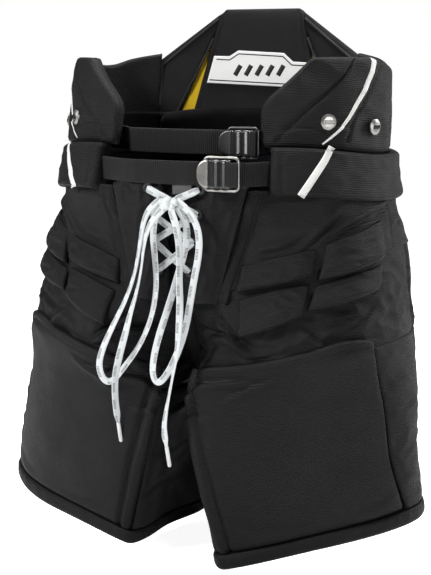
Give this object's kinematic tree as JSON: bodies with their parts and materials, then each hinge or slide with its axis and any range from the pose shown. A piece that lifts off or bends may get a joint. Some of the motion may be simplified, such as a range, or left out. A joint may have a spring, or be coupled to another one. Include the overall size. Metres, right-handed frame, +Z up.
{
  "type": "hockey goalie pants",
  "caption": "Padded ice hockey goalie pants with hinged thigh shells, kidney wings, spine pad, two cam-buckle belts and a laced fly, standing on their hems.",
  "frame": {"origin": "middle of the footprint, on the surface that the inner hems stand on", "axes": "+Z up, -Y to the wearer's front, +X to the wearer's left"},
  "size_m": [0.546, 0.3194, 0.663],
  "materials": {
    "nylon_shell": "matte ribbed nylon",
    "quilted_nylon": "matte ribbed nylon over foam",
    "guard_fabric": "dense satin nylon",
    "guard_plastic": "moulded polyethylene",
    "knit_lining": "soft brushed knit",
    "spine_fabric": "fine woven face over moulded foam",
    "stretch_yellow": "stretch knit",
    "badge_white": "satin film",
    "webbing": "ribbed webbing",
    "bright_metal": "satin nickel",
    "dark_metal": "black oxide, worn",
    "lace": "flat woven lace with dark tracer",
    "aglet_plastic": "clear film over lace"
  },
  "bodies": {
    "waist": {"aglets": "aglet_plastic", "belt_sleeve_left": "quilted_nylon", "belt_sleeve_right": "quilted_nylon", "crotch_gusset": "nylon_shell", "eyelets": "bright_metal", "fly_gusset": "knit_lining", "fly_panel_left": "nylon_shell", "fly_panel_right": "nylon_shell", "groin_panel_left": "nylon_shell", "groin_panel_right": "nylon_shell", "hip_lining": "knit_lining", "hip_panel_left": "nylon_shell", "hip_panel_right": "nylon_shell", "hip_plates": "guard_plastic", "inner_buckle_frame": "dark_metal", "inner_straps": "webbing", "lace_knot": "lace", "lace_loop_left": "lace", "lace_loop_right": "lace", "lace_tail_left": "lace", "lace_tail_right": "lace", "lacing": "lace", "outer_buckle_frame": "bright_metal", "outer_strap_left": "webbing", "outer_strap_right": "webbing", "quilt_lower_left": "quilted_nylon", "quilt_lower_right": "quilted_nylon", "quilt_upper_left": "quilted_nylon", "quilt_upper_right": "quilted_nylon", "seat_panel": "nylon_shell", "tailbone_plate": "guard_plastic", "waistband": "knit_lining"},
    "left_leg": {"thigh_guard_left": "guard_fabric", "guard_plate_left": "guard_plastic", "thigh_side_panel_left": "nylon_shell", "thigh_back_panel_left": "nylon_shell", "inner_leg_panel_left": "guard_fabric", "leg_lining_left": "knit_lining", "hem_band_left": "nylon_shell"},
    "left_wing": {"kidney_wing_left": "quilted_nylon", "button_posts_left": "dark_metal"},
    "left_front_cap": {"front_button_left": "bright_metal"},
    "left_side_cap": {"side_button_left": "bright_metal"},
    "right_leg": {"thigh_guard_right": "guard_fabric", "guard_plate_right": "guard_plastic", "thigh_side_panel_right": "nylon_shell", "thigh_back_panel_right": "nylon_shell", "inner_leg_panel_right": "guard_fabric", "leg_lining_right": "knit_lining", "hem_band_right": "nylon_shell"},
    "right_wing": {"kidney_wing_right": "quilted_nylon", "button_posts_right": "dark_metal"},
    "right_front_cap": {"front_button_right": "bright_metal"},
    "right_side_cap": {"side_button_right": "bright_metal"},
    "spine": {"spine_panel": "spine_fabric", "spine_sides": "spine_fabric", "stretch_gussets": "stretch_yellow", "spine_badge": "badge_white"},
    "outer_lever": {"outer_buckle_lever": "bright_metal"},
    "inner_lever": {"inner_buckle_lever": "dark_metal"}
  },
  "joints": [
    {"name": "left_hip", "type": "hinge", "parent": "waist", "child": "left_leg", "pos_m": [0, 0.01, 0.3], "axis": [-1, 0, 0], "range_deg": [-10, 25], "deforming": ["groin_panel_left", "quilt_lower_left"]},
    {"name": "left_wing_flex", "type": "hinge", "parent": "waist", "child": "left_wing", "pos_m": [0.196, 0, 0.502], "axis": [0, 1, 0], "range_deg": [0, 12]},
    {"name": "left_front_cap_turn", "type": "hinge", "parent": "left_wing", "child": "left_front_cap", "pos_m": [0.16, -0.067, 0.528], "axis": [0.6157, -0.788, 0], "continuous": true},
    {"name": "left_side_cap_turn", "type": "hinge", "parent": "left_wing", "child": "left_side_cap", "pos_m": [0.197, -0.018, 0.521], "axis": [0.9272, -0.3746, 0], "continuous": true},
    {"name": "right_hip", "type": "hinge", "parent": "waist", "child": "right_leg", "pos_m": [0, 0.01, 0.3], "axis": [-1, 0, 0], "range_deg": [-10, 25], "deforming": ["groin_panel_right", "quilt_lower_right", "lace_loop_right", "lace_tail_right", "aglets"]},
    {"name": "right_wing_flex", "type": "hinge", "parent": "waist", "child": "right_wing", "pos_m": [-0.196, 0, 0.502], "axis": [0, -1, 0], "range_deg": [0, 12]},
    {"name": "right_front_cap_turn", "type": "hinge", "parent": "right_wing", "child": "right_front_cap", "pos_m": [-0.16, -0.067, 0.528], "axis": [-0.6157, -0.788, 0], "continuous": true},
    {"name": "right_side_cap_turn", "type": "hinge", "parent": "right_wing", "child": "right_side_cap", "pos_m": [-0.197, -0.018, 0.521], "axis": [-0.9272, -0.3746, 0], "continuous": true},
    {"name": "spine_flex", "type": "hinge", "parent": "waist", "child": "spine", "pos_m": [0, 0.112, 0.532], "axis": [-1, 0, 0], "range_deg": [-4, 10]},
    {"name": "outer_lever_lift", "type": "hinge", "parent": "waist", "child": "outer_lever", "pos_m": [0.051, -0.1435, 0.471], "axis": [0, 0, 1], "range_deg": [0, 70]},
    {"name": "inner_lever_lift", "type": "hinge", "parent": "waist", "child": "inner_lever", "pos_m": [0.062, -0.1025, 0.5045], "axis": [0, 0, 1], "range_deg": [0, 70]}
  ]
}
